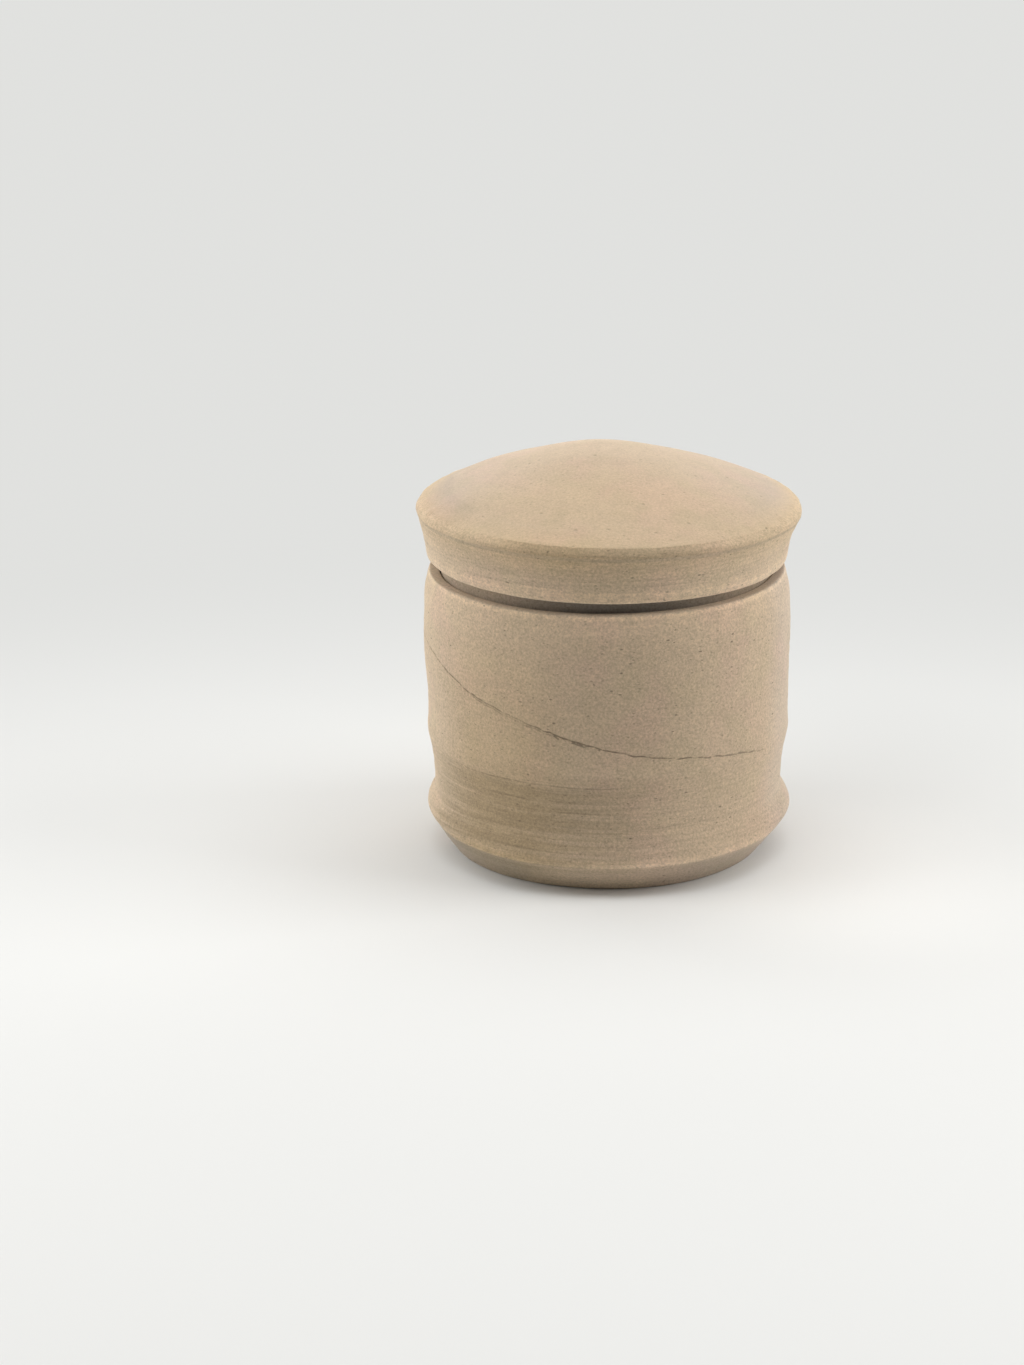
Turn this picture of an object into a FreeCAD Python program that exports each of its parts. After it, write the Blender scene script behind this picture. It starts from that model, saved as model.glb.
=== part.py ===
import FreeCAD, Part
import os
from FreeCAD import Vector

# A round, wheel-thrown box of unglazed clay, with a lid that lifts off.
# Millimetres, +Z up. The origin is on the table, at the middle of the foot.
# The wall of the box ends in a thin rim, with a ledge inside it, below the top.
# The lid has a collar that drops inside the rim and stands on that ledge, so the lid's
# skirt stays a narrow gap above the rim.

# Box, outside. An inset is taken off the body's radius, a rise is added to the height
# of the feature before it, and a drop is taken off the rim's height.
body_radius = 53.9
rim_height = 84.5
rim_inset = 1.8
rim_width = 2.7
shoulder_inset = 0.4
shoulder_drop = 6.0
belly_drop = 18.0
side_inset = 0.55
side_rise = 9.0
flare_inset = 0.4
flare_rise = 6.0
flank_inset = 1.7
flank_rise = 11.5
waist_inset = 2.45
waist_rise = 6.0
bulge_reach = 2.65
bulge_rise = 3.6
chamfer_undercut = 1.9
chamfer_width = 6.8
chamfer_height = 8.9

# Box, inside and underneath
wall = 5.0
floor_thickness = 7.0
floor_corner = 9.0
ledge_depth = 6.0
ledge_width = 3.4
ledge_lip = 1.6
ledge_cove = 9.0
foot_ring_width = 6.0
foot_hollow_depth = 1.2
foot_hollow_slope = 1.0

# Lid
skirt_gap = 2.9
skirt_overhang = 0.5
skirt_height = 14.9
skirt_flare = 3.9
edge_height = 2.6
edge_roll = 2.1
dome_rise = 15.7
lid_thickness = 5.5
lid_corner = 5.4
lid_corner_drop = 7.0
collar_clearance = 0.7
collar_thickness = 3.2

# Rounded edges, and how near an edge must lie to a named place to be taken as that one
skirt_round = 1.6
rim_round = 0.6
edge_round = 0.4
same_place = 0.01

# The skirt's hollow side, as shares of its flare and its height, from the bottom up
skirt_shares = ((0.13, 0.22), (0.30, 0.50), (0.72, 0.84))
# The dome, as shares of its radius and its rise, from the edge inwards
dome_shares = ((0.85, 0.245), (0.60, 0.555), (0.32, 0.845), (0.14, 0.975))

up = Vector(0, 0, 1)
outward = Vector(1, 0, 0)


def at(radius, height):
    return Vector(radius, 0, height)


def line(start, end):
    return Part.makeLine(start, end)


def smooth(points, leaving=None, arriving=None):
    """An edge through the points. At each point it runs along the mean of the two chords
    there, and at an end along the last chord or in the direction that is given."""
    chords = [(after - before).normalize() for before, after in zip(points, points[1:])]
    first = chords[0] if leaving is None else leaving
    last = chords[-1] if arriving is None else arriving
    inner = [(before + after).normalize() for before, after in zip(chords, chords[1:])]
    curve = Part.BSplineCurve()
    curve.interpolate(
        Points=points, Tangents=[first, *inner, last], TangentFlags=[True] * len(points), Scale=False
    )
    return curve.toShape()


def turned(edges):
    """The closed outline, turned once round the axis into a solid."""
    return Part.Face(Part.Wire(edges)).revolve(Vector(0, 0, 0), up, 360).Solids[0]


def softened(solid, radius, places):
    """The solid with its round edges at these places, each a radius and a height, rounded."""
    found = []
    for place in places:
        for edge in solid.Edges:
            box = edge.BoundBox
            misses = (box.ZMin - place.z, box.ZMax - place.z, box.XMax - place.x)
            if max(abs(miss) for miss in misses) < same_place:
                found.append(edge)
    return solid.makeFillet(radius, found).Solids[0]


# The outside of the box, from the foot up
waist_radius = body_radius - waist_inset
bulge_radius = waist_radius + bulge_reach
chamfer_radius = bulge_radius - chamfer_undercut
rim_radius = body_radius - rim_inset
mouth_radius = rim_radius - rim_width

foot = at(chamfer_radius - chamfer_width, 0)
chamfer = at(chamfer_radius, chamfer_height)
bulge = at(bulge_radius, chamfer.z + bulge_rise)
waist = at(waist_radius, bulge.z + waist_rise)
flank = at(body_radius - flank_inset, waist.z + flank_rise)
flare = at(body_radius - flare_inset, flank.z + flare_rise)
side = at(body_radius - side_inset, flare.z + side_rise)
belly = at(body_radius, rim_height - belly_drop)
shoulder = at(body_radius - shoulder_inset, rim_height - shoulder_drop)
rim_outer = at(rim_radius, rim_height)
rim_inner = at(mouth_radius, rim_height)

# The ledge inside the mouth
ledge_height = rim_height - ledge_depth
ledge_outer = at(mouth_radius, ledge_height)
ledge_inner = at(mouth_radius - ledge_width, ledge_height)
ledge_under = ledge_inner - up * ledge_lip

# The inside wall follows the outside one, at the wall's thickness
inner_top = at(body_radius - wall, ledge_under.z - ledge_cove)
inner_side = side - outward * wall
inner_flare = flare - outward * wall
inner_flank = flank - outward * wall
inner_low = at(waist_radius - wall, floor_thickness + floor_corner)
floor_edge = at(inner_low.x - floor_corner, floor_thickness)
corner_centre = at(floor_edge.x, inner_low.z)
corner_middle = corner_centre + (outward - up).normalize() * floor_corner

# The trimmed hollow under the foot
hollow_low = foot - outward * foot_ring_width
hollow_high = at(hollow_low.x - foot_hollow_slope, foot_hollow_depth)

# The outside of the lid, from the skirt's bottom edge to the peak
skirt_low = at(rim_radius + skirt_overhang, rim_height + skirt_gap)
skirt_top = at(skirt_low.x + skirt_flare, skirt_low.z + skirt_height)
skirt_curve = [skirt_low + at(out * skirt_flare, rise * skirt_height) for out, rise in skirt_shares]
dome_edge = at(skirt_top.x - edge_roll, skirt_top.z + edge_height)
dome_curve = [at(out * dome_edge.x, dome_edge.z + rise * dome_rise) for out, rise in dome_shares]
peak = at(0, dome_edge.z + dome_rise)

# The collar, which stands on the ledge inside the mouth
collar_radius = mouth_radius - collar_clearance
collar_inside = collar_radius - collar_thickness
collar_top = at(collar_radius, skirt_low.z)
collar_outer = at(collar_radius, ledge_height)
collar_inner = at(collar_inside, ledge_height)

# The underside of the lid follows the dome, at the lid's thickness
under_peak = peak - up * lid_thickness
under_curve = [point - up * lid_thickness for point in reversed(dome_curve[1:])]
under_edge = at(collar_inside - lid_corner, dome_curve[0].z - lid_thickness)
under_side = at(collar_inside, under_edge.z - lid_corner_drop)


def make_pot():
    pot = turned([
        line(at(0, foot_hollow_depth), hollow_high),
        line(hollow_high, hollow_low),
        line(hollow_low, foot),
        line(foot, chamfer),
        smooth([chamfer, bulge, waist, flank, flare, side, belly, shoulder, rim_outer]),
        line(rim_outer, rim_inner),
        line(rim_inner, ledge_outer),
        line(ledge_outer, ledge_inner),
        line(ledge_inner, ledge_under),
        smooth([ledge_under, inner_top], arriving=-up),
        smooth([inner_top, inner_side, inner_flare, inner_flank, inner_low], -up, -up),
        Part.Arc(inner_low, corner_middle, floor_edge).toShape(),
        line(floor_edge, at(0, floor_thickness)),
        line(at(0, floor_thickness), at(0, foot_hollow_depth)),
    ])
    pot = softened(pot, rim_round, [rim_outer])
    return softened(pot, edge_round, [rim_inner, ledge_inner, foot])


def make_lid():
    lid = turned([
        smooth([skirt_low, *skirt_curve, skirt_top]),
        smooth([skirt_top, dome_edge], leaving=up),
        smooth([dome_edge, *dome_curve, peak], arriving=-outward),
        line(peak, under_peak),
        smooth([under_peak, *under_curve, under_edge, under_side], outward, -up),
        line(under_side, collar_inner),
        line(collar_inner, collar_outer),
        line(collar_outer, collar_top),
        line(collar_top, skirt_low),
    ])
    lid = softened(lid, skirt_round, [skirt_low])
    return softened(lid, edge_round, [collar_outer, collar_inner])


os.makedirs("parts", exist_ok=True)
for name, shape in (("pot", make_pot()), ("lid", make_lid())):
    shape.exportStep(f"parts/{name}.step")
    print(name, shape.ShapeType, "valid" if shape.isValid() else "not valid", round(shape.Volume), "mm3")
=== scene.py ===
from collections import namedtuple
from math import cos, radians, sin, tau

import bpy
import numpy as np
from mathutils import Matrix, Vector


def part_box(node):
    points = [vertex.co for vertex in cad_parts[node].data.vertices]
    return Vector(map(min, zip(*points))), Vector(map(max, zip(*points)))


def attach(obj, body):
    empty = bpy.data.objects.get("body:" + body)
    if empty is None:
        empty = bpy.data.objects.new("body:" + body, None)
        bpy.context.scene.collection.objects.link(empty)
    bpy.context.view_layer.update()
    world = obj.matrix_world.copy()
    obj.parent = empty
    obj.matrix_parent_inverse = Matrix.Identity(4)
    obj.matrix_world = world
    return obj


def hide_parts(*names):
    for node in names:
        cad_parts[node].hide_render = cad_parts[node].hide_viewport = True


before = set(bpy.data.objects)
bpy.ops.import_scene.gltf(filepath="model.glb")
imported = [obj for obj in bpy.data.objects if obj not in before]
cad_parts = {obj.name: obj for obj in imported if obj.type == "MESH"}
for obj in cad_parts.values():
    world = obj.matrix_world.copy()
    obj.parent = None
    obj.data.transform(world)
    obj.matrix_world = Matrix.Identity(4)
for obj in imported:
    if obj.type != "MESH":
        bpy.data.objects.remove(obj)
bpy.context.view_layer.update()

# A round, wheel-thrown box of unglazed clay, with a lid that lifts off. Both pieces are turned again
# on the outlines of the solids, with the marks of the wheel, the tool and the kiln.
# Lengths here are millimetres, and MM turns them into Blender's metres.
# An azimuth is in degrees, 0 at the front of the box and growing towards its right side.
MM = 0.001

# Heights from the frame
rim_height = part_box("pot")[1].z / MM
ledge_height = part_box("lid")[0].z / MM
peak_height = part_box("lid")[1].z / MM

# Where the two pieces meet. The photo shows the rim 0.25 mm wider and the gap above it 0.45 mm
# higher than the solids have them.
mouth_radius = 49.15
collar_radius = 48.7
collar_inside = 45.5
skirt_gap = 3.35
skirt_height = rim_height + skirt_gap

# Steps of the meshes along the outline, and the counts of faces round it
fine_step = 0.5
wall_step = 0.65
dome_step = 0.6
roll_step = 0.3
plain_step = 1.6
corner_steps = 5
fine_round = 448
plain_round = 112
least_round = 14
narrowest_face = 0.38

# Random fields are sums of so many waves, each longer or shorter than the wave that is asked for
# within this range
field_waves = 26
wave_range = (0.6, 1.4)

# Rings that throwing leaves on both pieces: how wide they are, and how long round the piece
ring_wave = 4.0
ring_reach = 90.0

# Directions along an outline: a way outwards from the axis, and a way up
straight_out = (1, 0)
straight_in = (-1, 0)
straight_down = (0, -1)

# One stretch of an outline: its points, the length over which its start is rounded, the heights
# of its uneven swellings and of its throwing rings, and how many faces go round it
Stretch = namedtuple("Stretch", "points corner swell rings round")

# A patch on a piece: its heights and its azimuths, each from, to and how softly it ends, and how
# strong it is
Patch = namedtuple("Patch", "heights azimuths strength")

# A noise in the clay: the size of its clouds, its detail and roughness, and which range of its
# values is spread out
Noise = namedtuple("Noise", "wave detail roughness low high")


def smooth(points, step, leaving=None, arriving=None):
    """A line about a step apart through the points. It passes each along the mean of its two chords."""
    points = np.array(points, float)
    chords = np.diff(points, axis=0)
    lengths = np.linalg.norm(chords, axis=1)
    ways = chords / lengths[:, None]
    first = ways[0] if leaving is None else leaving
    last = ways[-1] if arriving is None else arriving
    tangents = np.vstack([[first], ways[:-1] + ways[1:], [last]])
    tangents /= np.linalg.norm(tangents, axis=1)[:, None]
    line = [points[:1]]
    for start, end, leave, arrive, length in zip(points, points[1:], tangents, tangents[1:], lengths):
        count = max(1, round(length / step))
        t = (np.arange(count) + 1)[:, None] / count
        line.append(
            (2 * t**3 - 3 * t**2 + 1) * start + (3 * t**2 - 2 * t**3) * end
            + ((t**3 - 2 * t**2 + t) * leave + (t**3 - t**2) * arrive) * length
        )
    return np.vstack(line)


def seen(points, corner=0, swell=0, rings=0, step=fine_step, **ends):
    """A stretch on the outside or in the mouth, in small faces."""
    return Stretch(smooth(points, step, **ends), corner, swell, rings, fine_round)


def hidden(points, corner=0, swell=0, rings=0, step=plain_step, **ends):
    """A stretch inside, underneath or deep in the gap, in larger faces."""
    return Stretch(smooth(points, step, **ends), corner, swell, rings, plain_round)


def cut_start(line, length):
    """The line without the first of it, to this length."""
    reached = np.linalg.norm(np.diff(line, axis=0), axis=1).cumsum()
    gone = int(np.searchsorted(reached, length))
    start, end = line[gone], line[gone + 1]
    share = (reached[gone] - length) / np.linalg.norm(end - start)
    return np.vstack([[end + (start - end) * share], line[gone + 1 :]])


def bend(start, corner, end):
    """The points between start and end on the curve that rounds the corner."""
    t = ((np.arange(corner_steps - 1) + 1) / corner_steps)[:, None]
    return (1 - t) ** 2 * start + 2 * t * (1 - t) * corner + t**2 * end


class Outline:
    """Half the section of a turned solid, from the axis underneath round to the axis on top."""

    def __init__(self, stretches):
        rows = [stretches[0].points]
        for stretch in stretches[1:]:
            line = stretch.points[1:]
            if stretch.corner:
                line = cut_start(stretch.points, stretch.corner)
                rows[-1] = cut_start(rows[-1][::-1], stretch.corner)[::-1]
                line = np.vstack([bend(rows[-1][-1], stretch.points[0], line[0]), line])
            rows.append(line)
        marks = []
        for stretch, line in zip(stretches, rows):
            marks += [stretch] * len(line)
        self.set_rows(np.vstack(rows), marks)

    def set_rows(self, points, marks):
        """Takes the points, each marked with its stretch, and works out the rest from them."""
        self.points, self.marks = points, marks
        self.radius, self.height = points.T
        steps = np.diff(points, axis=0)
        lengths = np.linalg.norm(steps, axis=1)
        self.along = np.concatenate([[0], lengths.cumsum()])
        ways = steps / lengths[:, None]
        ways = np.vstack([ways[:1], ways[:-1] + ways[1:], ways[-1:]])
        ways /= np.linalg.norm(ways, axis=1)[:, None]
        self.out, self.rise = ways[:, 1], -ways[:, 0]
        self.swell = self.eased([mark.swell for mark in marks])
        self.rings = self.eased([mark.rings for mark in marks])
        self.round = [mark.round for mark in marks]

    def eased(self, values, reach=1.5):
        """Each value as the mean of those within reach along the outline."""
        near = np.abs(self.along[:, None] - self.along[None]) < reach
        return near @ np.array(values, float) / near.sum(1)

    def along_at(self, height, stretch):
        """How far along the outline a stretch that climbs all the way passes a height."""
        rows = [row for row, mark in enumerate(self.marks) if mark is stretch]
        return np.interp(height, self.height[rows], self.along[rows])

    def along_near(self, place):
        """How far along the outline its nearest row to a place is."""
        return self.along[np.argmin(np.linalg.norm(self.points - place, axis=1))]

    def add_rows(self, middle, reach, step):
        """Puts rows a step apart within reach of a place along the outline, instead of those there."""
        offsets = np.linspace(-reach, reach, round(2 * reach / step) + 1)
        kept = np.abs(self.along - middle) > reach + step
        first = int(np.argmin(kept))
        last = len(kept) - int(np.argmin(kept[::-1]))
        new = np.stack([np.interp(middle + offsets, self.along, part) for part in self.points.T], 1)
        points = np.vstack([self.points[:first], new, self.points[last:]])
        marks = [*self.marks[:first], *[self.marks[first]] * len(new), *self.marks[last:]]
        self.set_rows(points, marks)


def band(low, low_count, high, high_count):
    """The faces between two rings of points, from the first point and the count of each ring.
    The counts are the same, or one is twice the other, or one ring is a single point."""

    def below(k):
        return low + k % low_count

    def above(k):
        return high + k % high_count

    if low_count == 1:
        return [(low, above(k + 1), above(k)) for k in range(high_count)]
    if high_count == 1:
        return [(below(k), below(k + 1), high) for k in range(low_count)]
    if low_count == high_count:
        return [(below(k), below(k + 1), above(k + 1), above(k)) for k in range(low_count)]
    faces = []
    for k in range(min(low_count, high_count)):
        if low_count > high_count:
            faces.append((below(2 * k), below(2 * k + 1), above(k)))
            faces.append((below(2 * k + 1), above(k + 1), above(k)))
            faces.append((below(2 * k + 1), below(2 * k + 2), above(k + 1)))
        else:
            faces.append((below(k), above(2 * k + 1), above(2 * k)))
            faces.append((below(k), below(k + 1), above(2 * k + 1)))
            faces.append((below(k + 1), above(2 * k + 2), above(2 * k + 1)))
    return faces


class Grid:
    """The points of a turned solid, in rings along its outline, and the faces between them."""

    def __init__(self, outline):
        self.outline = outline
        counts = self.counts()
        firsts = np.concatenate([[0], np.cumsum(counts)])
        self.along = np.repeat(outline.along, counts)
        self.azimuth = np.concatenate([np.arange(count) * 360 / count for count in counts])
        self.faces = []
        for ring in range(len(counts) - 1):
            self.faces += band(firsts[ring], counts[ring], firsts[ring + 1], counts[ring + 1])

    def counts(self):
        """How many points go round in each row: fewer near the axis, and by halves."""
        counts = list(self.outline.round)
        for row, radius in enumerate(self.outline.radius):
            while counts[row] > least_round and tau * radius < counts[row] * narrowest_face:
                counts[row] //= 2
        for row in range(1, len(counts)):
            counts[row] = max(counts[row], counts[row - 1] // 2)
        for row in reversed(range(len(counts) - 1)):
            counts[row] = max(counts[row], counts[row + 1] // 2)
        counts[0] = counts[-1] = 1
        return counts

    def each(self, values):
        """Values of the outline's rows, at each point."""
        return np.interp(self.along, self.outline.along, values)

    def outside(self):
        """Whether each point is on a stretch that is seen."""
        return self.each(self.outline.round) > plain_round

    def points(self, raised=0.0):
        """Where the points are, once raised off the outline by these heights."""
        radius = self.each(self.outline.radius) + raised * self.each(self.outline.out)
        height = self.each(self.outline.height) + raised * self.each(self.outline.rise)
        angle = np.radians(self.azimuth)
        return np.stack([radius * np.sin(angle), -radius * np.cos(angle), height], 1)


def swells(points, wave, seed):
    """A smooth random field of about unit height, its swellings as wide every way as the wave."""
    chance = np.random.default_rng(seed)
    ways = chance.normal(size=(field_waves, 3))
    ways /= np.linalg.norm(ways, axis=1)[:, None]
    ways *= tau / wave * chance.uniform(*wave_range, (field_waves, 1))
    field = np.cos(points @ ways.T + chance.uniform(0, tau, field_waves))
    return field.sum(1) * (2 / field_waves) ** 0.5


def streaks(points, along, wave, reach, seed):
    """The same, but as narrow as the wave along the outline and as long as the reach round it."""
    chance = np.random.default_rng(seed)
    ways = chance.normal(size=(field_waves, 2)) * tau / reach
    turns = along[:, None] * tau / wave * chance.uniform(*wave_range, field_waves)
    field = np.cos(points[:, :2] @ ways.T + turns + chance.uniform(0, tau, field_waves))
    return field.sum(1) * (2 / field_waves) ** 0.5


def uneven(points, wave, seed, usual, by, least, most):
    """A value that varies over the points by about so much, and is held between least and most."""
    return np.clip(usual + by * swells(points, wave, seed), least, most)


def throwing(grid, wave, small_wave, small_share, seeds):
    """How far uneven throwing raises each point: swellings of two sizes, and rings."""
    plain = grid.points()
    large_seed, small_seed, ring_seed = seeds
    swelling = swells(plain, wave, large_seed) + small_share * swells(plain, small_wave, small_seed)
    rings = streaks(plain, grid.along, ring_wave, ring_reach, ring_seed)
    return grid.each(grid.outline.swell) * swelling + grid.each(grid.outline.rings) * rings


def window(values, low, high, soft):
    """One between low and high, easing to nothing over the soft length outside them."""
    return np.clip(np.minimum(values - low, high - values) / soft + 1, 0, 1)


def patches(heights, azimuths, *marks):
    """The patches that are listed, laid over each other."""
    return sum(
        mark.strength * window(heights, *mark.heights) * window(azimuths, *mark.azimuths) for mark in marks
    )


def gentle(share):
    """The share from nothing to one, made to set out and arrive gently."""
    return (1 - np.cos(np.pi * share)) / 2


def groove(off, width):
    """How deep a rounded groove of unit depth is, this far off its middle."""
    return np.exp(-((off / width) ** 2))


def counted_from(start, azimuth):
    """The azimuths, each as it counts within the one turn that begins at the start."""
    return (azimuth - start) % 360 + start


def toward_left(azimuth):
    """One at the left side of the box, easing to nothing at its front and back."""
    return np.cos(np.radians(azimuth + 90)).clip(0) ** 4


def push_out(points, lengths):
    """Moves the points level and away from the axis by these lengths."""
    points[:, :2] *= 1 + (lengths / np.hypot(*points[:, :2].T).clip(1))[:, None]


def add_piece(name, points, faces, node, body, attributes):
    """A piece of clay, with what its material is told at each point."""
    mesh = bpy.data.meshes.new(name)
    mesh.from_pydata((points * MM).tolist(), [], faces)
    mesh.shade_smooth()
    for label, values in attributes.items():
        mesh.attributes.new(label, "FLOAT", "POINT").data.foreach_set("value", values.astype(np.float32))
    mesh.materials.append(clay)
    piece = bpy.data.objects.new(name, mesh)
    bpy.context.collection.objects.link(piece)
    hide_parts(node)
    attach(piece, body)


class Shader:
    """The nodes of a material or a world, and short ways of adding to them."""

    def __init__(self, owner):
        owner.use_nodes = True
        self.tree = owner.node_tree
        self.tree.nodes.clear()

    def add(self, kind, inputs, **settings):
        """The outputs of a new node. An input may be a value or another node's output."""
        made = self.tree.nodes.new("ShaderNode" + kind)
        for name, value in settings.items():
            setattr(made, name, value)
        for name, value in inputs.items():
            if isinstance(value, bpy.types.NodeSocket):
                self.tree.links.new(value, made.inputs[name])
            else:
                made.inputs[name].default_value = value
        return made.outputs

    def math(self, operation, *values):
        return self.add("Math", dict(enumerate(values)), operation=operation)[0]

    def plus(self, first, second):
        return self.math("ADD", first, second)

    def minus(self, first, second):
        return self.math("SUBTRACT", first, second)

    def times(self, *values):
        product = values[0]
        for value in values[1:]:
            product = self.math("MULTIPLY", product, value)
        return product

    def most(self, *values):
        largest = values[0]
        for value in values[1:]:
            largest = self.math("MAXIMUM", largest, value)
        return largest

    def vector(self, operation, first, second):
        return self.add("VectorMath", {0: first, 1: second}, operation=operation)["Vector"]

    def scaled(self, vector, factor):
        return self.add("VectorMath", {0: vector, "Scale": factor}, operation="SCALE")["Vector"]

    def distance(self, first, second):
        return self.add("VectorMath", {0: first, 1: second}, operation="DISTANCE")["Value"]

    def spread(self, value, low, high, to_low=0.0, to_high=1.0):
        """The value carried from one range to another, and held within it."""
        inputs = {"Value": value, "From Min": low, "From Max": high, "To Min": to_low, "To Max": to_high}
        return self.add("MapRange", inputs, interpolation_type="SMOOTHSTEP")["Result"]

    def mixed(self, share, first, second):
        return self.add("Mix", {0: share, 6: first, 7: second}, data_type="RGBA")[2]

    def object_place(self):
        return self.add("TexCoord", {})["Object"]

    def carried(self, label):
        """What the mesh carries under this label."""
        return self.add("Attribute", {}, attribute_name=label)["Fac"]

    def clouds(self, vector, noise):
        inputs = {
            "Vector": vector,
            "Scale": 1 / noise.wave,
            "Detail": noise.detail,
            "Roughness": noise.roughness,
        }
        return self.add("TexNoise", inputs)["Fac"]

    def centred(self, vector, noise, height):
        """The noise, varying about nothing by this height."""
        return self.times(self.minus(self.clouds(vector, noise), 0.5), height)

    def spread_clouds(self, vector, noise, to_low=0.0, to_high=1.0):
        """The noise, its range spread out to another."""
        return self.spread(self.clouds(vector, noise), noise.low, noise.high, to_low, to_high)

    def seen_directly(self):
        """One for what the camera sees, straight or by a mirror or glass, and nothing for other light."""
        rays = self.add("LightPath", {})
        return self.most(rays["Is Camera Ray"], rays["Is Glossy Ray"], rays["Is Transmission Ray"])

    def show(self, surface, kind="OutputMaterial"):
        self.add(kind, {"Surface": surface}, is_active_output=True)


# The colours of the clay, and how strongly the second and third cover the first at most
buff = (0.614, 0.479, 0.332, 1)
pink = (0.630, 0.471, 0.340, 1)
olive = (0.583, 0.462, 0.310, 1)
# Dun is the colour of stains, and of painted shade low on the left of the box and on the front of the lid's
# rolled edge
dun = (0.474, 0.364, 0.236, 1)
# A dark grey for painted shade: in the gap, on the rim's top, on the chamfer and under the lid's rolled edge
painted_shade_colour = (0.195, 0.181, 0.168, 1)
most_pink = 0.75
most_olive = 0.60

# The noises in the clay. Those that have the whole range from 0 to 1 aren't spread out.
pink_noise = Noise(17.0, 1.5, 0.5, 0.44, 0.66)
olive_noise = Noise(11.0, 2.0, 0.5, 0.47, 0.68)
stain_and_shade_noise = Noise(60.0, 3.0, 0.6, 0.25, 0.58)
patch_noise = Noise(5.0, 2.0, 0.5, 0.3, 0.7)
grain_noise = Noise(0.7, 4.0, 0.8, 0.25, 0.75)
line_noise = Noise(26.0, 4.0, 0.7, 0.32, 0.68)
wear_and_light_noise = Noise(3.0, 2.0, 0.5, 0.25, 0.65)
ragged_noise = Noise(0.9, 3.0, 0.7, 0, 1)
pit_noise = Noise(0.6, 3.0, 0.5, 0, 1)
stray_noise = Noise(9.0, 2.0, 0.5, 0, 1)
break_noise = Noise(2.5, 2.0, 0.5, 0.35, 0.55)

# The darkest and the lightest patch, and the least that wear and painted light make edges pale
dark_patch = 0.975
light_patch = 1.02
least_wear_and_light = 0.35

# How strongly the grain shows on rough and on smoothed clay, and how much of the pits on the latter
rough_grain = 0.25
smooth_grain = 0.1375
smooth_pits = 0.45

# How strongly the wheel's lines show where there are few and where there are many, and how much
# the shape is squeezed along its outline to draw them
few_lines = 0.008
many_lines = 0.09
wheel_squeeze = 30.0

# How ragged the scored line's sides are, and the depths of scoring over which that sets in. Then
# the depths over which the line, and the heights over which its burr, grow to their full strength.
score_ragged = 0.9
ragged_range = (0.0, 0.15)
cut_range = (0.08, 0.75)
burr_range = (0.02, 0.5)

# How much darker or lighter each mark is than the clay
hole_shade = 0.5
speck_shade = 0.32
score_shade = 0.40
mark_shade = 0.25
burr_light = 0.10
crumb_light = 0.14
# Worn edges, and painted light and highlights on the crease, the rim and the shoulder
wear_and_light_paleness = 0.18

# What one unit of warmth does to the red and takes from the blue
warm_red = 0.026
warm_blue = 0.086

# Depths of the relief that is finer than the mesh
grain_depth = 0.11
line_depth = 1.5
hole_depth = 0.14
speck_depth = 0.06
mark_depth = 0.05

# Level lines left by a tool: their heights, the azimuths between which they run, and how strong
# they are. Then how far they stray, how little is left where they break up, half the width of
# their full part and of the whole, and over which angle either way their ends fade.
level_marks = (
    (33.3, -60, 6, 1.0),
    (28.1, -42, -26, 0.9),
    (25.0, -18, -6, 0.9),
    (54.3, -22, -17, 1.0),
    (20.5, 10, 60, 0.5),
    (13.2, -33, -23, 0.7),
)
mark_stray = 1.2
mark_left = 0.3
mark_core = 0.05
mark_edge = 0.32
mark_fade = 4

# Pits are wider than tall, their sides are ragged, and a share of their radius is their full part
pit_squeeze = (1.0, 1.0, 2.2)
pit_ragged = 0.45
pit_core_share = 0.4


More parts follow.
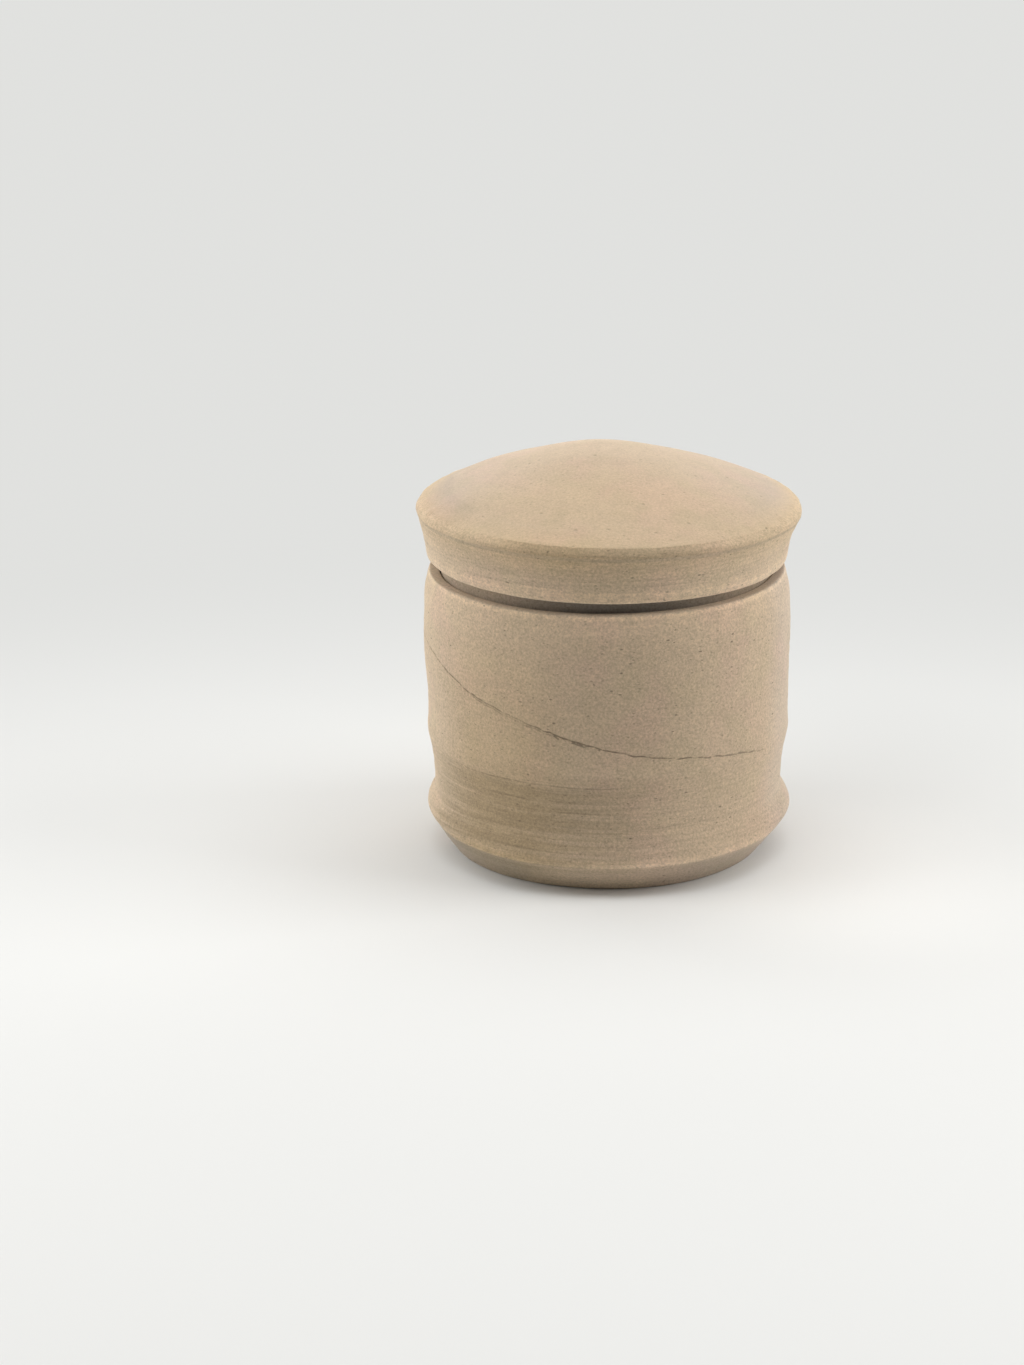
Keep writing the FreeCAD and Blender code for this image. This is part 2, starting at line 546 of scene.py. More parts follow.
class Clay(Shader):
    """Unglazed fired clay: faintly mottled, fine-grained, streaked by the wheel, with pits in it."""

    def __init__(self, material):
        super().__init__(material)
        self.place = self.scaled(self.object_place(), 1 / MM)
        self.axes = self.add("SeparateXYZ", {"Vector": self.place})
        self.smoothed = self.carried("smoothed")

        # Noise in this space runs in long thin streaks round the turned shape
        squeezed = self.times(self.carried("along"), wheel_squeeze)
        wheel = {"X": self.axes["X"], "Y": self.axes["Y"], "Z": squeezed}
        self.wheel = self.add("CombineXYZ", wheel)["Vector"]
        self.line_strength = self.spread(self.carried("streaked"), 0.0, 1.0, few_lines, many_lines)
        self.wheel_lines = self.clouds(self.wheel, line_noise)

        self.holes = self.pits(apart=3.2, share=0.30, narrow=0.50, wide=1.00, shift=0.0)
        self.specks = self.pits(apart=1.5, share=0.30, narrow=0.46, wide=0.85, shift=40.0)
        self.crumbs = self.pits(apart=2.6, share=0.20, narrow=0.40, wide=0.75, shift=80.0)
        self.marks = self.level_lines()

    def pits(self, apart, share, narrow, wide, shift):
        """Pits at a share of points that lie scattered so far apart. Their radius is from narrow to
        wide, less what is ragged. Each kind of pit has its own shift, and so its own places."""
        stretched = self.vector("MULTIPLY", self.place, pit_squeeze)
        stretched = self.vector("ADD", stretched, (shift, shift, shift))
        cells = self.add("TexVoronoi", {"Vector": stretched, "Scale": 1 / apart, "Randomness": 1.0})
        chance = self.add("SeparateColor", {"Color": cells["Color"]})
        width = self.spread(chance["Red"], 0.0, 1.0, narrow / apart, wide / apart)
        ragged = self.times(self.clouds(self.place, pit_noise), pit_ragged / apart)
        off = self.math("DIVIDE", self.plus(cells["Distance"], ragged), width)
        taken = self.math("LESS_THAN", chance["Green"], share)
        return self.times(taken, self.spread(off, pit_core_share, 1.0, 1.0, 0.0))

    def level_lines(self):
        """The tool's level lines, which stray a little and are broken up."""
        azimuth = self.math("ARCTAN2", self.axes["X"], self.times(self.axes["Y"], -1.0))
        stray = self.centred(self.place, stray_noise, mark_stray)
        broken = self.spread_clouds(self.place, break_noise, mark_left, 1.0)
        marks = 0.0
        for height, low, high, strength in level_marks:
            off = self.math("ABSOLUTE", self.minus(self.plus(self.axes["Z"], stray), height))
            mark = self.spread(off, mark_core, mark_edge, 1.0, 0.0)
            begun = self.spread(azimuth, radians(low - mark_fade), radians(low + mark_fade))
            going = self.spread(azimuth, radians(high - mark_fade), radians(high + mark_fade), 1.0, 0.0)
            marks = self.most(marks, self.times(mark, begun, going, broken, strength))
        return marks

    def ground(self):
        """The colour of the clay, its stain, which also carries painted shade, and the painted shade in dark
        grey over it.
        """
        colour = self.mixed(self.spread_clouds(self.place, pink_noise, 0.0, most_pink), buff, pink)
        colour = self.mixed(self.spread_clouds(self.place, olive_noise, 0.0, most_olive), colour, olive)
        stain_and_painted_shade = self.times(self.carried("stain_and_painted_shade"), self.spread_clouds(self.wheel, stain_and_shade_noise))
        colour = self.mixed(stain_and_painted_shade, colour, dun)
        return self.mixed(self.carried("painted_shade"), colour, painted_shade_colour)

    def texture(self):
        """What large patches, grain and wheel lines multiply the colour by."""
        patch = self.spread_clouds(self.place, patch_noise, dark_patch, light_patch)
        contrast = self.spread(self.smoothed, 0.0, 1.0, rough_grain, smooth_grain)
        grain = self.spread_clouds(self.place, grain_noise, -1.0, 1.0)
        lines = self.spread(self.wheel_lines, line_noise.low, line_noise.high, -1.0, 1.0)
        grain = self.plus(1.0, self.times(grain, contrast))
        lines = self.plus(1.0, self.times(lines, self.line_strength))
        return self.times(patch, grain, lines)

    def single_marks(self):
        """What pits, lines, crumbs, burrs, worn edges and painted light on edges multiply the colour by."""
        scored = self.carried("scored")
        ragged = self.centred(self.place, ragged_noise, score_ragged)
        ragged = self.times(ragged, self.spread(scored, *ragged_range))
        cut = self.spread(self.plus(scored, ragged), *cut_range)
        burr = self.spread(self.times(scored, -1.0), *burr_range)
        wear_and_painted_light = self.times(self.carried("wear_and_painted_light"), self.spread_clouds(self.place, wear_and_light_noise, least_wear_and_light, 1.0))
        shown = self.spread(self.smoothed, 0.0, 1.0, 1.0, smooth_pits)
        pits = self.most(self.times(self.holes, hole_shade), self.times(self.specks, speck_shade))
        lines = self.most(self.times(cut, score_shade), self.times(self.marks, mark_shade))
        dark = self.most(self.times(pits, shown), lines)
        crumbs = self.times(self.crumbs, shown, crumb_light)
        pale = self.most(self.times(burr, burr_light), crumbs, self.times(wear_and_painted_light, wear_and_light_paleness))
        return self.times(self.minus(1.0, dark), self.plus(1.0, pale))

    def cast(self):
        """What warmth multiplies each colour by. Below nothing it greys the clay, in places as a painted
        sheen.
        """
        warmth_and_painted_sheen = self.carried("warmth_and_painted_sheen")
        red = self.plus(1.0, self.times(warmth_and_painted_sheen, warm_red))
        blue = self.minus(1.0, self.times(warmth_and_painted_sheen, warm_blue))
        return self.add("CombineXYZ", {"X": red, "Y": 1.0, "Z": blue})["Vector"]

    def relief(self):
        """Relief finer than the mesh, as a normal."""
        height = self.times(self.clouds(self.place, ragged_noise), grain_depth)
        height = self.plus(height, self.times(self.wheel_lines, self.line_strength, line_depth))
        for part, depth in (self.holes, hole_depth), (self.specks, speck_depth), (self.marks, mark_depth):
            height = self.minus(height, self.times(part, depth))
        return self.add("Bump", {"Height": height, "Distance": MM, "Strength": 1.0})["Normal"]


def make_clay():
    material = bpy.data.materials.new("clay")
    shader = Clay(material)
    # Painted light and shade that the pieces carry, with a little tone of the clay itself
    painted_light_and_tone = shader.plus(1.0, shader.carried("painted_light_and_tone"))
    light = shader.times(shader.texture(), painted_light_and_tone, shader.single_marks())
    colour = shader.vector("MULTIPLY", shader.scaled(shader.ground(), light), shader.cast())
    inputs = {
        "Base Color": colour,
        "Roughness": 0.88,
        "Specular IOR Level": 0.5,
        "Diffuse Roughness": 0.6,
        "Sheen Weight": 0.06,
        "Normal": shader.relief(),
    }
    shader.show(shader.add("BsdfPrincipled", inputs)["BSDF"])
    return material


clay = make_clay()


# The outline of the box: places that two stretches share, each a radius and a height
hollow_middle = (0, 1.2)
hollow_high = (38.4, 1.2)
hollow_low = (39.4, 0)
foot = (45.4, 0)
chamfer = (52.2, 8.9)
rim_outer = (52.1, rim_height)
rim_inner = (mouth_radius, rim_height)
ledge_outer = (mouth_radius, ledge_height)
ledge_inner = (46, ledge_height)
ledge_under = (46, 76.9)
inner_top = (48.9, 67.9)
inner_low = (46.45, 16)
floor_edge = (37.4, 7)
floor_middle = (0, 7)

body = seen(
    [chamfer, (54.1, 12.4), (53.3, 14.9), (51.5, 17.9), (51.45, 21.0), (51.8, 27.0), (52.2, 30.1),
     (52.85, 33.1), (53.45, 36.1), (53.3, 40.0), (53.35, 48.0), (53.65, 56.0), (53.9, 66.0), (53.75, 73.0),
     (53.5, 78.5), (52.8, 81.6), rim_outer],
    corner=0.22, swell=0.09, rings=0.02, step=wall_step,
)
inner_wall = hidden(
    [inner_top, (48.35, 45), (48.5, 36), (47.2, 30), inner_low],
    swell=0.15, rings=0.3, leaving=straight_down, arriving=straight_down,
)
inner_corner = hidden(
    [inner_low, (43.8, 9.65), floor_edge], swell=0.15, rings=0.3, leaving=straight_down, arriving=straight_in
)
pot_outline = Outline([
    hidden([hollow_middle, hollow_high], swell=0.05, rings=0.05),
    hidden([hollow_high, hollow_low], corner=0.5),
    hidden([hollow_low, foot], corner=0.5),
    seen([foot, chamfer], corner=0.9, swell=0.05, rings=0.02),
    body,
    seen([rim_outer, rim_inner], corner=0.45, swell=0.03),
    seen([rim_inner, ledge_outer], corner=0.3),
    hidden([ledge_outer, ledge_inner], corner=0.3, step=fine_step),
    hidden([ledge_inner, ledge_under], corner=0.5, step=fine_step),
    hidden([ledge_under, inner_top], corner=0.5, swell=0.1, rings=0.1, arriving=straight_down),
    inner_wall,
    inner_corner,
    hidden([floor_edge, floor_middle], swell=0.1, rings=0.3),
])

# The scored line that winds up round the box: azimuths and heights, then azimuths and how much of
# its depth it has there
score_step = 2.0
score_path = smooth(
    [(-98, 68.5), (-74, 64.2), (-59, 60.2), (-46, 56.3), (-35.5, 53.6), (-24, 50.8), (-10.5, 47.1),
     (2.4, 43.9), (17, 41.7), (32, 40.2), (46, 38.6), (57, 37.2), (100, 37), (150, 47), (215, 66),
     (262, 68.5)],
    score_step,
)
score_cuts = np.array(
    [(-98, 0), (-90, 0.5), (-70, 0.8), (-50, 0.9), (-40, 0.9), (-32, 0.6), (-22, 0.7), (-17, 1), (-6, 1),
     (20, 0.8), (45, 0.9), (56, 0.5), (59, 0), (262, 0)]
)
score_start = score_path[0, 0]
score_depth = 0.28
score_width = 0.27

# How far it wanders, in waves of two sizes
score_wander = 0.1
wander_wave = 5.0
wander_small_wave = 2.2
wander_small_share = 0.6

# The burr beneath it, and the strand beneath it where it runs double
burr_drop = 0.35
burr_width = 0.17
burr_share = 0.22
strand_drop = 0.62
strand_share = 0.75
strand_azimuths = ((-46, -18, 3), (-14, -7, 3))

# Where it has torn the clay beneath it
torn_azimuths = (-18, -5, 3)
torn_drop = 0.4
torn_width = 0.5
torn_depth = 1.2

# The mesh near it: fine rows within reach, made at one height and then led along the line, and
# the heights between which the other rows give way
score_reach = 0.9
score_rows = 0.12
score_rows_height = 52.0
score_room = (22.0, 82.0)


def lead_rows(grid, azimuth, middle):
    """Leads the fine rows that were made round the middle along the scored line, while the rows
    below and above give way. Gives how far along the outline the line is at each point."""
    score = grid.outline.along_at(np.interp(azimuth, *score_path.T), body)
    low, high = grid.outline.along_at(score_room, body)
    off = grid.along - middle
    below = low + (grid.along - low) * (score - score_reach - low) / (middle - score_reach - low)
    above = high - (high - grid.along) * (high - score - score_reach) / (high - middle - score_reach)
    moved = np.where(off < -score_reach, below, np.where(off > score_reach, above, score + off))
    grid.along = np.where((grid.along > low) & (grid.along < high), moved, grid.along)
    return score


def scored_line(grid, azimuth, score):
    """How deeply each point is scored, and below zero where it is raised. The line wanders, and in
    places it breaks up, runs double or has torn the clay beneath it."""
    plain = grid.points()
    level = plain * (1, 1, 0)
    wander = swells(level, wander_wave, seed=6)
    wander += wander_small_share * swells(level, wander_small_wave, seed=7)
    off = grid.along - score + score_wander * wander
    depth = np.interp(azimuth, *score_cuts.T)
    depth *= uneven(level, wave=2.6, seed=3, usual=0.9, by=0.25, least=0.35, most=1.2)
    double = sum(window(azimuth, *zone) for zone in strand_azimuths)
    scored = groove(off, score_width) - burr_share * groove(off + burr_drop, burr_width)
    scored += strand_share * double * groove(off + strand_drop, score_width)
    torn = window(azimuth, *torn_azimuths) * groove(off + torn_drop, torn_width)
    torn *= uneven(plain, wave=1.3, seed=8, usual=0.35, by=1, least=-0.6, most=1)
    return scored * depth + torn_depth * torn


# Fine lines round the waist: their heights, how high, wide and long they are, where they show most
# in the colour, how much of that is left elsewhere on the waist, and the least anywhere
waist_heights = (12, 32, 5)
waist_line_depth = 0.02
waist_line_wave = 1.5
waist_line_reach = 60.0
waist_line_azimuths = (-65, 5, 30)
waist_streaked = 0.5
least_streaked = 0.25

# At the front the bulge above the foot is fuller low down and flatter above: its azimuths, then
# heights, and how far the surface is moved out and up at them
bulge_azimuths = (-40, 40, 35)
bulge_heights = [2.5, 8.9, 9.6, 10.8, 12.4, 14.9, 17.0, 18.5]
bulge_outward = [0, 1.80, 0.95, -0.30, -1.45, -1.30, -0.25, 0]
bulge_upward = [0, 0.60, 0.30, 0, 0, 0, 0, 0]

# At the left the bulge is less full
inset = 0.6
inset_heights = [5, 9, 12, 16.5]
inset_shares = [0, 1, 0.8, 0]

# The lower half of the body stands a little further right, and the rim rises towards the right
body_shift = 0.35
body_shift_heights = (10, 48, 10)
rim_lean = 0.24
rim_lean_reach = 20

# Painted shade on the chamfer, in the gap between the lid and the rim, most of all in front, and on the rim's
# top face under the lid. The places in the gap are lengths along the outline, from the top of the body
# inwards.
chamfer_heights = (0, 8.6, 0.8)
all_round = (-360, 360, 1)
# Painted shade on the chamfer: a little all round, more at the left, where it stands for the shadow of a
# stone beside the box, and some at the right
chamfer_painted_shade = (
    Patch(chamfer_heights, all_round, 0.14),
    Patch(chamfer_heights, (-75, -34, 18), 0.3),
    Patch(chamfer_heights, (30, 80, 20), 0.2),
)
least_gap_shade = 0.3
front_gap_shade = 0.48
front_gap_azimuths = (-8, 12, 40)
mouth_shade_places = (3.2, 14, 1.0)
# Painted shade on the rim's top face, where the lid's skirt shades it
rim_top_painted_shade = 0.2
rim_top_shade_places = (0.3, 3.2, 0.3)

# A stain low on the left, within a wider pale one, and a darker strip at its foot. Low down all three are
# also painted shade, standing in for the shadow of a stone beside the box, and the strip is mostly that.
stain_with_painted_shade = Patch((9, 31, 5), (-60, -12, 24), 1.0)
pale_stain_with_painted_shade = Patch((8, 52, 18), (-54, -22, 20), 0.3)
stain_foot_with_painted_shade = Patch((9, 17, 5), (-60, -30, 14), 0.5)

# Edges made pale. The crease above the chamfer is worn and carries a painted highlight, the rim's outer edge
# is worn and has painted light where the lid's skirt shades it, and the shoulder under the rim has painted
# light that thins the lid's shadow. Their places are lengths along the outline, from the crease above the
# chamfer and from the top of the body.
crease_wear_and_highlight = 1.2
crease_pale_less = 0.4
crease_pale_less_azimuths = (30, 100, 20)
crease_pale_places = (0.1, 1.4, 2.0)
rim_wear_and_painted_light = 1.6
rim_pale_places = (-0.8, 0, 1.0)
shoulder_painted_light = 0.6
shoulder_painted_light_places = (-3, 0, 9)

# Darker clay low on the left, which is painted shade standing in for the shadow of a stone beside the box,
# warmer clay above it, and greyer clay at the right, a painted sheen where that side turns away
pot_painted_shade = (Patch((8, 32, 8), (-50, -28, 14), -0.08), Patch((11.5, 17, 3), (-50, -28, 14), -0.05))
warm_azimuths = (-48, -28, 16)
warm_heights = [30, 50, 66, 80]
warm_shares = [1, 0.65, 0.5, 0]
grey_sheen_azimuths = (68, 120, 12)


def gap_painted_shade(azimuth):
    """How much painted shade darkens the clay in the gap: most of all in front."""
    return least_gap_shade + front_gap_shade * window(azimuth, *front_gap_azimuths)


def pot_looks(grid, azimuth, scored, waist):
    """What the material of the box is told at each point."""
    height = grid.points()[:, 2]
    outside = grid.outside()
    past_crease = grid.along - grid.outline.along_at(chamfer[1], body)
    past_top = grid.along - grid.outline.along_at(rim_height, body)
    stain_and_painted_shade = np.maximum(patches(height, azimuth, stain_with_painted_shade), patches(height, azimuth, pale_stain_with_painted_shade))
    stain_and_painted_shade += patches(height, azimuth, stain_foot_with_painted_shade)
    crease = crease_wear_and_highlight - crease_pale_less * window(azimuth, *crease_pale_less_azimuths)
    wear_and_painted_light = crease * window(past_crease, *crease_pale_places) + rim_wear_and_painted_light * window(past_top, *rim_pale_places)
    wear_and_painted_light = np.maximum(wear_and_painted_light, shoulder_painted_light * window(past_top, *shoulder_painted_light_places))
    warmth_and_painted_sheen = window(azimuth, *warm_azimuths) * np.interp(height, warm_heights, warm_shares)
    warmth_and_painted_sheen -= window(azimuth, *grey_sheen_azimuths)
    streaked = waist_streaked + (1 - waist_streaked) * window(azimuth, *waist_line_azimuths)
    deep = gap_painted_shade(azimuth) * window(past_top, *mouth_shade_places)
    painted_shade = np.maximum(deep, rim_top_painted_shade * window(past_top, *rim_top_shade_places))
    return {
        "along": grid.along,
        "scored": scored,
        "painted_light_and_tone": patches(height, azimuth, *pot_painted_shade) * outside,
        "warmth_and_painted_sheen": warmth_and_painted_sheen * outside,
        "streaked": np.maximum(waist * streaked, least_streaked),
        "smoothed": np.zeros(len(height)),
        "stain_and_painted_shade": stain_and_painted_shade * outside,
        "wear_and_painted_light": wear_and_painted_light,
        "painted_shade": painted_shade + patches(height, azimuth, *chamfer_painted_shade) * outside,
    }


def make_pot():
    middle = pot_outline.along_at(score_rows_height, body)
    pot_outline.add_rows(middle, score_reach, score_rows)
    grid = Grid(pot_outline)
    azimuth = counted_from(score_start, grid.azimuth)
    score = lead_rows(grid, azimuth, middle)
    scored = scored_line(grid, azimuth, score)

    plain = grid.points()
    height = plain[:, 2]
    outside = grid.outside()
    waist = window(height, *waist_heights) * outside
    raised = throwing(grid, wave=30.0, small_wave=9.0, small_share=0.15, seeds=(1, 2, 4))
    raised += waist_line_depth * waist * streaks(plain, grid.along, waist_line_wave, waist_line_reach, seed=5)
    points = grid.points(raised - score_depth * scored)

    # What isn't quite round
    front = gentle(window(azimuth, *bulge_azimuths)) * outside
    push_out(points, front * np.interp(height, bulge_heights, bulge_outward))
    points[:, 2] += front * np.interp(height, bulge_heights, bulge_upward)
    push_out(points, -inset * toward_left(azimuth) * outside * np.interp(height, inset_heights, inset_shares))
    points[:, 0] += body_shift * window(points[:, 2], *body_shift_heights) * outside
    lean = rim_lean * window(points[:, 2], rim_height, np.inf, rim_lean_reach)
    points[:, 2] += lean * points[:, 0] / mouth_radius
    points[:, 2] = np.maximum(points[:, 2], 0)
    add_piece("pot_clay", points, grid.faces, "pot", "pot", pot_looks(grid, azimuth, scored, waist))


# The outline of the lid: places that two stretches share, each a radius and a height
dome_radius = 54.4
under_peak = (0, 115.1)
under_side = (collar_inside, 96.2)
collar_inner = (collar_inside, ledge_height)
collar_outer = (collar_radius, ledge_height)
collar_top = (collar_radius, skirt_height)
skirt_low = (52.6, skirt_height)
skirt_top = (56.45, 102.4)
dome_edge = (dome_radius, 104.9)
peak = (0, peak_height)

under_dome = hidden(
    [under_peak, (7.6, 114.8), (17.4, 112.7), (32.6, 108.1), (40.1, 103.2), under_side],
    swell=0.15, rings=0.25, leaving=straight_out, arriving=straight_down,
)
skirt = seen(
    [skirt_low, (53.1, 90.7), (53.6, 93.8), (54.4, 96.9), (55.5, 100.0), skirt_top],
    corner=1.7, swell=0.06, rings=0.02,
)
rolled_edge = seen(
    [skirt_top, (56.3, 103.1), (55.6, 104.0), dome_edge], corner=0.3, swell=0.06, step=roll_step
)
dome = seen(
    [dome_edge, (50.2, 106.9), (46.0, 108.8), (41.8, 110.5), (33.5, 113.3), (25.1, 115.9), (16.7, 118.4),
     (12.5, 119.4), (8.4, 120.1), (4.2, 120.5), peak],
    corner=0.2, swell=0.045, rings=0.008, step=dome_step, arriving=straight_in,
)
lid_outline = Outline([
    under_dome,
    hidden([under_side, collar_inner], rings=0.05),
    hidden([collar_inner, collar_outer], corner=0.5, step=fine_step),
    hidden([collar_outer, collar_top], corner=0.5, step=fine_step),
    seen([collar_top, skirt_low], corner=0.3, swell=0.02),
    skirt,
    rolled_edge,
    dome,
])

# Small dents in the rolled edge
dent_heights = (103, 105.2, 1.5)
dent_depth = 0.05
dent_wave = 5.0

# At the front the dome's edge stands out further, and is lifted by a share of that
edge_azimuths = (-22, 18, 25)
edge_push = 1.3
edge_lift_share = 0.32
edge_reach_below = 3.6
edge_reach_above = 13.0

# At the left the dome is less full: heights, and how far in it is moved at them
dome_inset_heights = [102.3, 104.6, 109, 115]
dome_inset = [0.2, 0.9, 1.0, 0]

# The lid has warped in the kiln. Above its seat it leans down to the right, by these lengths at
# these heights, its edge is shifted to the right, and its peak to the left.
lid_lean_heights = [ledge_height, skirt_height, 105]
lid_lean = [0, 0.4, 0.63]
edge_shift_heights = [97, 102, 106, 114]
edge_shift = [0, 0.5, 0.5, 0]
peak_shift = 1.5
peak_shift_from = 100

# Painted shade and wear: painted shade on the collar in the gap, on a band of the skirt just under the rolled
# edge and, in the stain's colour, on the front of the rolled edge; the skirt's lower edge is worn pale.
# Places are heights, or lengths along the outline from the top of the collar and from the bottom of the
# skirt.
collar_shade_places = (-9, 1, 1.5)
under_edge_painted_shade = 0.2
under_edge_shade_heights = (101.4, 102.1, 0.35)
skirt_worn_places = (0, 2.4, 2.0)
front_edge_painted_shade = 0.4
front_edge_shade_heights = (102.6, 104.7, 0.6)
skirt_streaked = 0.8
skirt_heights = (90, 103, 2)

# Tone and warmth of the dome: all over it, further aside and further back. They ease in over a
# length from its edge. The darker tone at its sides and along its left edge is painted shade, and its greyer
# sides are partly a painted sheen.
dome_ease = 7
dome_tone = -0.02
dome_shade_aside = -0.08
dome_warm = 0.5
dome_warm_aside = -1.2
dome_warm_behind = -0.8
behind_from = -28
behind_over = 20
left_edge_shade = -0.07
left_edge_places = (0, 8, 2)
left_edge_azimuths = (-110, -62, 15)

# Painted light and shade on the skirt, and its warmth, at azimuths and heights: it is lighter at its front
# and right, and darker just under the rolled edge there. At some azimuths it is warmer still.
skirt_light_azimuths = [-40, -5, 30, 60, 90]
skirt_painted_light = [0, 0.03, 0.04, 0.03, 0]
skirt_light_heights = [98, 102]
skirt_light_and_shade_shares = [1, -0.5]
skirt_warm_heights = [94, 101]
skirt_warm = [0, 0.7]
skirt_warm_more = 0.7
skirt_warm_more_azimuths = (-30, -10, 14)


def lid_looks(grid, points, azimuth, front):
    """What the material of the lid is told at each point."""
    height = grid.points()[:, 2]
    outside = grid.outside()
    outline = grid.outline
    past_edge = grid.along - outline.along_near(dome_edge)
    past_collar = grid.along - outline.along_near(collar_top)
    past_skirt_low = grid.along - outline.along_near(skirt_low)

    on_dome = np.clip(past_edge / dome_ease, 0, 1)
    aside = np.clip(np.abs(points[:, 0]) / dome_radius, 0, 1) ** 3
    behind = np.clip((points[:, 1] - behind_from) / behind_over, 0, 1)
    skirt_light_and_shade = np.interp(azimuth, skirt_light_azimuths, skirt_painted_light)
    skirt_light_and_shade *= np.interp(height, skirt_light_heights, skirt_light_and_shade_shares)
    painted_light_and_tone = on_dome * (dome_tone + dome_shade_aside * aside) + (1 - on_dome) * skirt_light_and_shade * outside
    painted_light_and_tone += left_edge_shade * window(past_edge, *left_edge_places) * window(azimuth, *left_edge_azimuths)
    skirt_warmth = np.interp(height, skirt_warm_heights, skirt_warm)
    skirt_warmth *= 1 + skirt_warm_more * window(azimuth, *skirt_warm_more_azimuths)
    warmth_and_painted_sheen = on_dome * (dome_warm + dome_warm_aside * aside + dome_warm_behind * behind)
    warmth_and_painted_sheen += (1 - on_dome) * skirt_warmth * outside
    painted_shade = gap_painted_shade(azimuth) * window(past_collar, *collar_shade_places)
    painted_shade += under_edge_painted_shade * outside * window(height, *under_edge_shade_heights)
    return {
        "along": grid.along,
        "scored": np.zeros(len(height)),
        "painted_light_and_tone": painted_light_and_tone,
        "warmth_and_painted_sheen": warmth_and_painted_sheen,
        "streaked": skirt_streaked * window(height, *skirt_heights) * outside,
        "smoothed": 1.0 * (past_edge > 0),
        "stain_and_painted_shade": front_edge_painted_shade * front * window(height, *front_edge_shade_heights) * outside,
        "wear_and_painted_light": window(past_skirt_low, *skirt_worn_places),
        "painted_shade": painted_shade,
    }


def make_lid():
    grid = Grid(lid_outline)
    azimuth = counted_from(-180, grid.azimuth)
    plain = grid.points()
    height = plain[:, 2]
    raised = throwing(grid, wave=24.0, small_wave=8.0, small_share=0.25, seeds=(11, 12, 13))
    dented = window(height, *dent_heights) * grid.outside()
    points = grid.points(raised + dent_depth * dented * swells(plain, dent_wave, seed=14))

    # The edge of the dome
    front = gentle(window(azimuth, *edge_azimuths))
    past_edge = grid.along - lid_outline.along_near(dome_edge)
    beyond = np.maximum(-past_edge / edge_reach_below, past_edge / edge_reach_above)
    push = edge_push * front * np.clip(1 - beyond, 0, 1)
    push_out(points, push)
    points[:, 2] += edge_lift_share * push
    inset_here = toward_left(azimuth) * (height > dome_inset_heights[0])
    push_out(points, -inset_here * np.interp(height, dome_inset_heights, dome_inset))

    # What the kiln has warped
    lean = np.interp(points[:, 2], lid_lean_heights, lid_lean)
    points[:, 2] -= lean * points[:, 0] / dome_radius
    points[:, 0] += np.interp(height, edge_shift_heights, edge_shift)
    near_peak = np.clip(1 - np.hypot(plain[:, 0], plain[:, 1]) / dome_radius, 0, 1)
    points[:, 0] -= peak_shift * near_peak * (height > peak_shift_from)
    add_piece("lid_clay", points, grid.faces, "lid", "lid", lid_looks(grid, points, azimuth, front))


make_pot()
make_lid()


# The floor, which fades into the background all round
background = (0.752, 0.755, 0.738, 1)
floor_colour = (0.73, 0.73, 0.712)
floor_radius = 3000
floor_corners = 128
fade_centre = (0, -230, 0)
fade_start = 170
fade_end = 560

# Painted light: it is lighter towards the front, and beside the box there is a painted pool of light and a
# painted shadow
front_painted_light = 1.14
front_start = -120
front_end = -450
painted_floor_spots = (((71, -36, 0), 1.14), ((85, 85, 0), 0.91))
spot_core = 5
spot_radius = 80


def make_floor():
    material = bpy.data.materials.new("floor")
    shader = Shader(material)
    place = shader.scaled(shader.object_place(), 1 / MM)
    painted_light = shader.spread(
        shader.add("SeparateXYZ", {"Vector": place})["Y"], front_end, front_start, front_painted_light, 1.0
    )
    for spot, strength in painted_floor_spots:
        off = shader.distance(place, spot)
        painted_light = shader.times(painted_light, shader.spread(off, spot_core, spot_radius, strength, 1.0))
    colour = shader.scaled(floor_colour, painted_light)
    matt = shader.add("BsdfDiffuse", {"Color": colour})["BSDF"]
    even = shader.add("Emission", {"Color": background, "Strength": 1.0})["Emission"]
    fade = shader.spread(shader.distance(place, fade_centre), fade_start, fade_end)
    fade = shader.times(fade, shader.seen_directly())
    shader.show(shader.add("MixShader", {0: fade, 1: matt, 2: even})[0])
    bpy.ops.mesh.primitive_circle_add(vertices=floor_corners, radius=floor_radius * MM, fill_type="NGON")
    floor = bpy.context.object
    floor.name = "floor"
    floor.data.materials.append(material)


make_floor()


# Light: a wide soft one overhead, and weaker ones to the sides, brighter on the right
sky_strength = 0.01


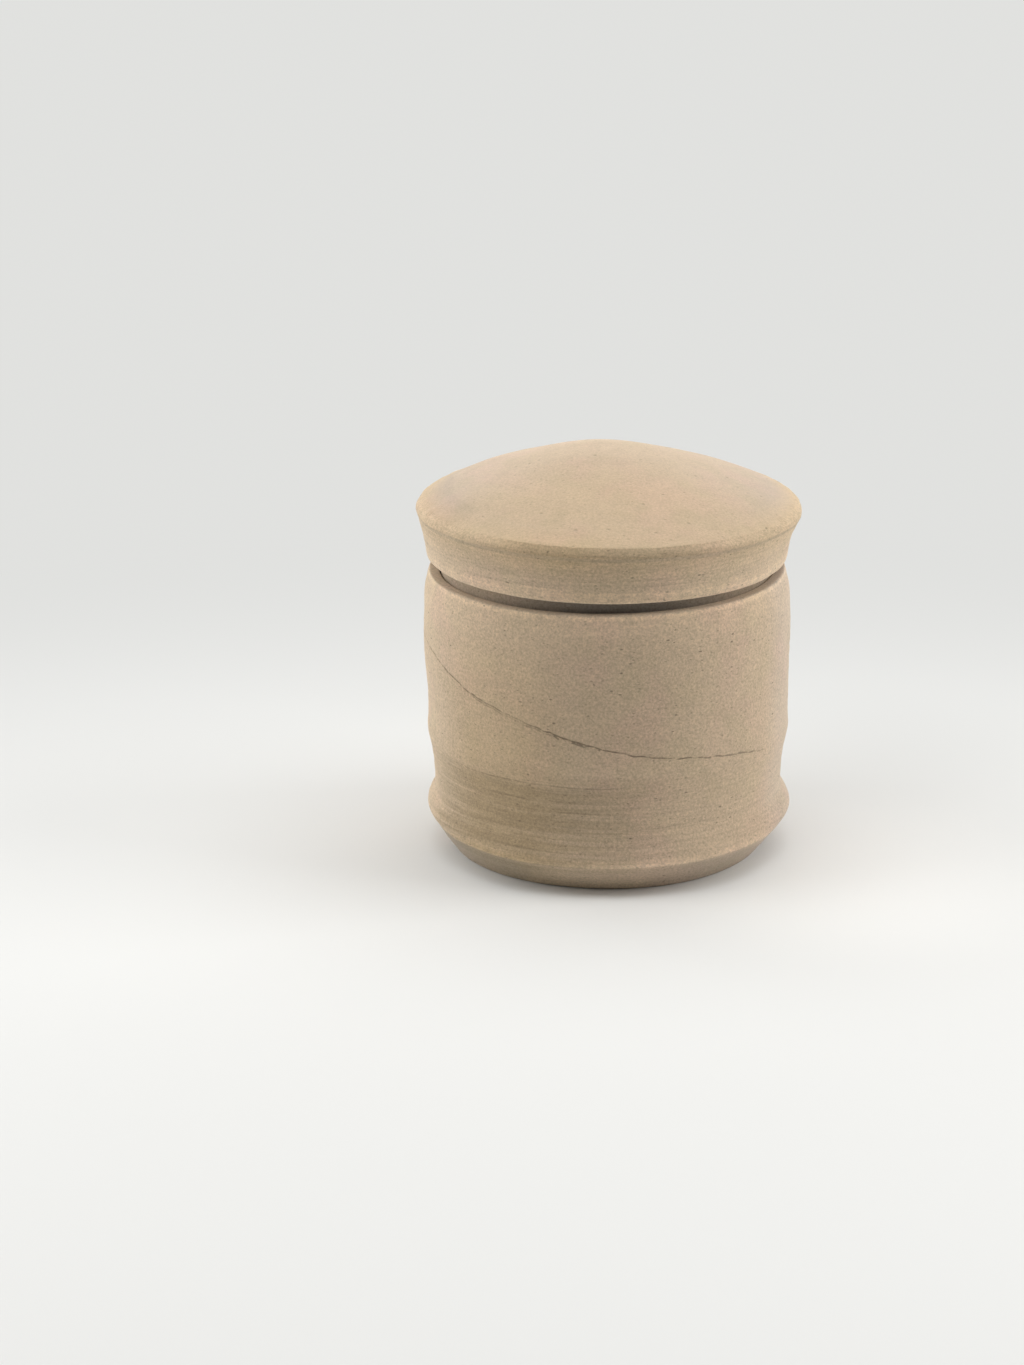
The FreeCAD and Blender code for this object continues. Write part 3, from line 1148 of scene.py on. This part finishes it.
def add_lamp(name, place, target, width, height, power):
    lamp = bpy.data.lights.new(name, "AREA")
    lamp.shape = "RECTANGLE"
    lamp.size, lamp.size_y = width * MM, height * MM
    lamp.energy = power
    holder = bpy.data.objects.new(name, lamp)
    holder.location = Vector(place) * MM
    holder.rotation_euler = (Vector(target) - Vector(place)).to_track_quat("-Z", "Y").to_euler()
    bpy.context.collection.objects.link(holder)


add_lamp("ceiling_light", (0, 200, 1000), (0, 200, 0), width=1400, height=1400, power=12.6)
add_lamp("left_wall_light", (-600, 250, 350), (0, 250, 350), width=900, height=650, power=2.7)
add_lamp("left_light", (-700, -100, 400), (0, -100, 200), width=500, height=600, power=2.1)
add_lamp("right_light", (700, -100, 400), (0, -100, 200), width=500, height=600, power=4.3)


def make_world():
    """The background where the camera sees it, and a dim white for all other light."""
    world = bpy.data.worlds.new("studio")
    bpy.context.scene.world = world
    shader = Shader(world)
    dim = shader.add("Background", {"Color": (1, 1, 1, 1), "Strength": sky_strength})[0]
    pale = shader.add("Background", {"Color": background, "Strength": 1.0})[0]
    sky = shader.add("MixShader", {0: shader.seen_directly(), 1: dim, 2: pale})[0]
    shader.show(sky, "OutputWorld")


make_world()


# The camera looks down at the box from the front. The middle of the foot is right of and below
# the middle of the picture.
pitch = radians(17.73)
roll = radians(-0.38)
distance = 1200
aside = 28.35
beneath = 46.02
film_height = 36
focal_length = 105.5

ahead = Vector((0, cos(pitch), -sin(pitch)))
level_right = Vector((1, 0, 0))
level_down = Vector((0, -sin(pitch), -cos(pitch)))
right = cos(roll) * level_right - sin(roll) * level_down
down = cos(roll) * level_down + sin(roll) * level_right

camera_data = bpy.data.cameras.new("camera")
camera_data.sensor_fit = "VERTICAL"
camera_data.sensor_height = film_height
camera_data.lens = focal_length
camera = bpy.data.objects.new("camera", camera_data)
turn = Matrix((right, -down, -ahead)).transposed().to_4x4()
camera.matrix_world = Matrix.Translation(-(aside * right + beneath * down + distance * ahead) * MM) @ turn
bpy.context.collection.objects.link(camera)
bpy.context.scene.camera = camera
bpy.context.scene.view_settings.view_transform = "Standard"
